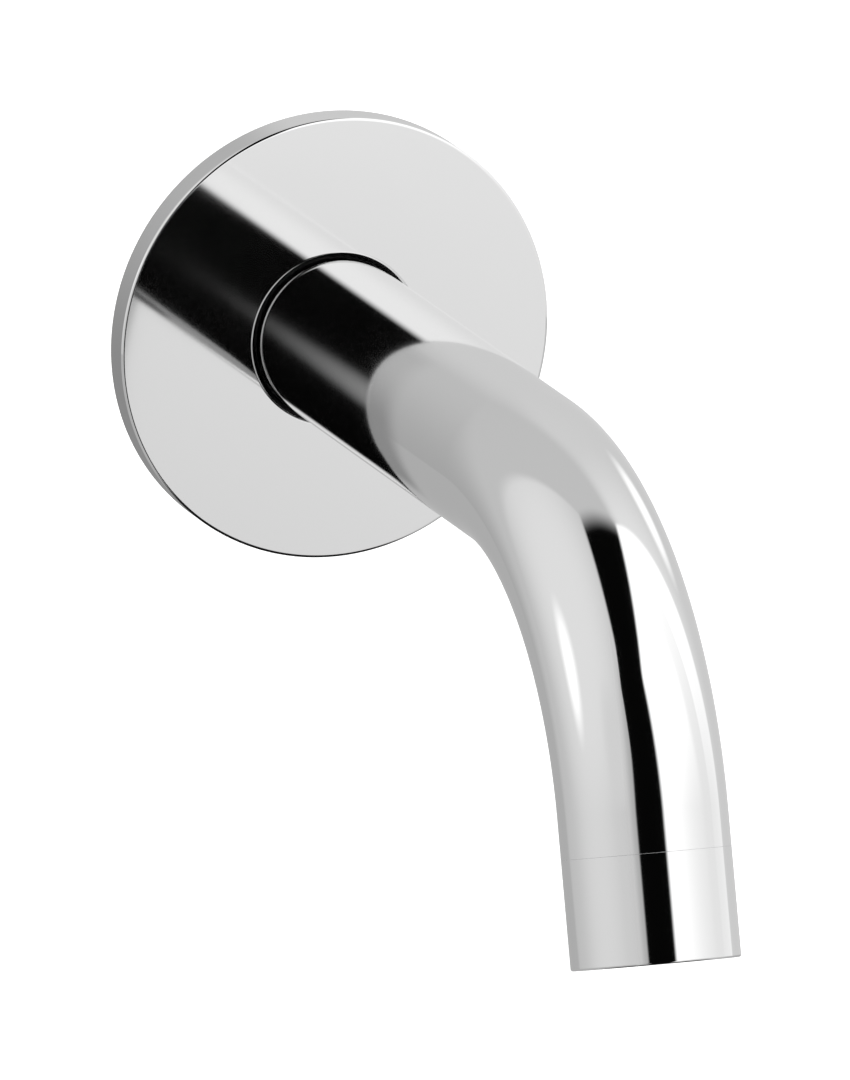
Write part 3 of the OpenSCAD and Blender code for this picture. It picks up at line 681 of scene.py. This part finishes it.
def add_world():
    """White for the camera; for light and reflections a pale room, open and dark between its panels.

    The room is laid from far to near. A level of 1 is white, and what no layer reaches stays dark.
    """
    world = bpy.data.worlds.new("studio")
    world.use_nodes = True
    world.node_tree.nodes.clear()
    graph = Graph(world.node_tree)
    direction = graph.node("ShaderNodeTexCoord").outputs["Generated"]
    up = graph.dot(direction, (0, 0, 1))

    def lay(level, *masks):
        """The room with one more layer, where all of its masks are 1."""
        return graph.over(level, graph.product(*masks), room)

    def lit(azimuth, elevation, radius, soft):
        """Round patch, all in degrees."""
        return glow(graph, direction, azimuth, elevation, radius, soft)

    def panel(azimuth, *edges):
        """Upright panel: its side edges, top and softness as in sheet."""
        return sheet(graph, direction, azimuth, *edges)

    def lamp(azimuth, elevation, half_width, half_height, soft):
        """Oval lamp, its size as in spot."""
        return spot(graph, direction, azimuth, elevation, half_width, half_height, soft)

    room = 0.002
    # wall behind the spout: a pale screen on its right, shade low in its middle
    wall = graph.smooth(graph.dot(direction, toward(180)), 0.03, 0.18)
    screen = graph.product(wall, panel(116, (-0.7, 1.65), 2, (0.65, 0.65, 0.5)))
    room = lay(0.68, wall)
    room = lay(0.81, screen)
    room = lay(1.08, screen, lit(55, 32, 36, 34))
    room = lay(0.48, wall, lit(-175, -8, 18, 17))
    # long left panel, brightest in its middle, with a paler patch near its front and a paler foot
    left = panel(-110, (-0.525, 3.8), 5.6, (0.06, 0.06, 0.85))
    room = lay(0.65, left)
    room = lay(0.96, left, lit(-97, 34, 31, 31))
    room = lay(0.83, left, lit(-51, 24, 9.5, 9))
    room = lay(0.735, left, graph.smooth(up, -0.065, -0.385))
    # right panel, brighter than white above, dimmer at its foot and in one upright strip
    right = panel(70, (-1.86, 0.73), 2.5, (0.22, 0.05, 0.2))
    room = lay(1.47, right)
    room = lay(0.87, right, lit(66, -37.5, 36, 36))
    room = lay(1.015, right, panel(70, (0.012, 0.304), 0.54, (0.08, 0.012, 1.2)))
    # one lamp on each side
    room = lay(1.5, lamp(-102.5, 16, 0.13, 0.135, 0.6))
    room = lay(1.5, lamp(127, 17, 0.135, 0.115, 0.58))
    # pale floor, open in the gap between the panels, which widens downwards, and dark straight below
    widens_below, widening = 0.3, 110
    sideways, outward = graph.dot(direction, X), graph.dot(direction, OUTWARD)
    turn = graph.math("DEGREES", graph.math("ARCTAN2", sideways, outward))
    below = graph.math("MINIMUM", graph.math("ADD", up, widens_below), 0)
    turn_at_top = graph.math("MULTIPLY_ADD", below, widening, turn)
    gap = graph.product(graph.smooth(turn, -26, -22), graph.smooth(turn_at_top, 8.7, 7.3))
    floor = graph.product(graph.smooth(up, -0.244, -0.247), graph.math("SUBTRACT", 1, gap))
    room = lay(0.56, floor)
    room = lay(0.685, floor, lit(36.3, -15, 38.6, 37.3))
    room = lay(1.24, floor, lit(24.4, -8.2, 5.7, 4.8))
    room = lay(0.01, lit(20, -80, 34, 6))

    room = lay(1, graph.node("ShaderNodeLightPath").outputs["Is Camera Ray"])
    background = graph.node("ShaderNodeBackground")
    graph.feed(background.inputs["Color"], (1, 1, 1, 1))
    graph.feed(background.inputs["Strength"], room)
    output = graph.node("ShaderNodeOutputWorld")
    graph.feed(output.inputs["Surface"], background.outputs[0])
    bpy.context.scene.world = world


def add_plane(name, corners, material):
    """Flat piece of the stage."""
    mesh = bpy.data.meshes.new(name)
    mesh.from_pydata(corners, [], [range(4)])
    mesh.materials.append(material)
    plane = bpy.data.objects.new(name, mesh)
    bpy.context.scene.collection.objects.link(plane)
    return plane


def mix_clear(graph, shader, mask):
    """Shows the shader where the mask is 1 and nothing where it is 0."""
    clear = graph.node("ShaderNodeBsdfTransparent")
    mix = graph.node("ShaderNodeMixShader")
    graph.feed(mix.inputs[0], mask)
    graph.feed(mix.inputs[1], clear.outputs[0])
    graph.feed(mix.inputs[2], shader.outputs[0])
    output = graph.tree.nodes["Material Output"]
    graph.feed(output.inputs["Surface"], mix.outputs[0])


def add_card(name, corners, paint):
    """Card that only reflections see; paint gives its level and its mask."""
    material = bpy.data.materials.new(name)
    material.use_nodes = True
    graph = Graph(material.node_tree)
    material.node_tree.nodes.remove(material.node_tree.nodes["Principled BSDF"])
    level, mask = paint(graph)
    light = graph.node("ShaderNodeEmission")
    graph.feed(light.inputs["Color"], (1, 1, 1, 1))
    graph.feed(light.inputs["Strength"], level)
    mix_clear(graph, light, mask)
    card = add_plane(name, corners, material)
    card.visible_camera = False
    card.visible_diffuse = False
    card.visible_shadow = False


def add_left_card():
    """Near end of the left panel, a slanted card."""
    azimuth, distance = -26, 1.1
    facing, side = toward(azimuth), toward(azimuth + 90)

    def paint(graph):
        place = graph.place()
        across = graph.dot(place, side)
        slant = graph.math("ADD", graph.dot(place, (0, 0, 1)), graph.math("MULTIPLY", across, 5))
        mask = graph.product(graph.smooth(across, 0.025, -0.03), graph.smooth(across, -0.26, -0.16),
                             graph.smooth(slant, 0.52, 0.48))
        return graph.scaled(graph.smooth(across, -0.03, -0.2), 0.555, 0.76), mask

    corners = [facing * distance + side * sideways + Vector((0, 0, height))
               for sideways, height in ((-0.27, -1.5), (0.03, -1.5), (0.03, 1.9), (-0.27, 1.9))]
    add_card("left_card", corners, paint)


def add_rim_shades():
    """Shade close to the flange that only its rim reflects: a grey half ring behind its left, dark below."""
    def paint_ring(graph):
        place = graph.place()
        radius = graph.vector_math("LENGTH", graph.vector_math("MULTIPLY", place, (1, 0, 1)))
        mask = graph.product(graph.smooth(radius, 0.036, 0.039), graph.smooth(radius, 0.059, 0.055),
                             graph.smooth(graph.dot(place, X), 0, -0.02), graph.front())
        return graph.scaled(graph.smooth(graph.dot(place, (0, 0, 1)), -0.015, 0.05), 0.34, 0.58), mask

    def paint_below(graph):
        place = graph.place()
        across, outward = graph.dot(place, X), graph.dot(place, OUTWARD)
        length = graph.node("ShaderNodeLightPath").outputs["Ray Length"]
        mask = graph.product(graph.smooth(across, -0.045, -0.03), graph.smooth(across, 0.03, 0.018),
                             graph.smooth(outward, 0.055, 0.045), graph.smooth(length, 0.055, 0.045),
                             graph.front())
        return 0.01, mask

    half, behind, below = 0.06, 0.025, -0.055
    square = [(-half, -half), (half, -half), (half, half), (-half, half)]
    add_card("ring_shade", [(x, behind, z) for x, z in square], paint_ring)
    add_card("low_shade", [(x, y, below) for x, y in square], paint_below)


def add_floor():
    """Pale floor well below the spout; it can't be seen from underneath."""
    half, depth = 12, -0.9
    material, graph, shader = new_material("floor", Base_Color=(0.95, 0.95, 0.95, 1), Roughness=1,
                                           Specular_IOR_Level=0, Emission_Color=(1, 1, 1, 1))
    path = graph.node("ShaderNodeLightPath")
    graph.feed(shader.inputs["Emission Strength"], graph.math("MULTIPLY", path.outputs["Is Camera Ray"], 0.6))
    mix_clear(graph, shader, graph.front())
    corners = [(x * half, y * half, depth) for x, y in ((-1, -1), (1, -1), (1, 1), (-1, 1))]
    floor = add_plane("floor", corners, material)
    floor.visible_glossy = False


add_tube()
add_collar()
add_flange()
add_nipple()
add_outlet_spigot()
add_grub_screw()
add_screen("screen_upper_woven", "mixing_screen_upper", 20.2, 0)
add_screen("screen_lower_woven", "mixing_screen_lower", 20.65, math.radians(45))
add_camera()
add_world()
add_left_card()
add_rim_shades()
add_floor()
bpy.context.scene.view_settings.view_transform = "Standard"
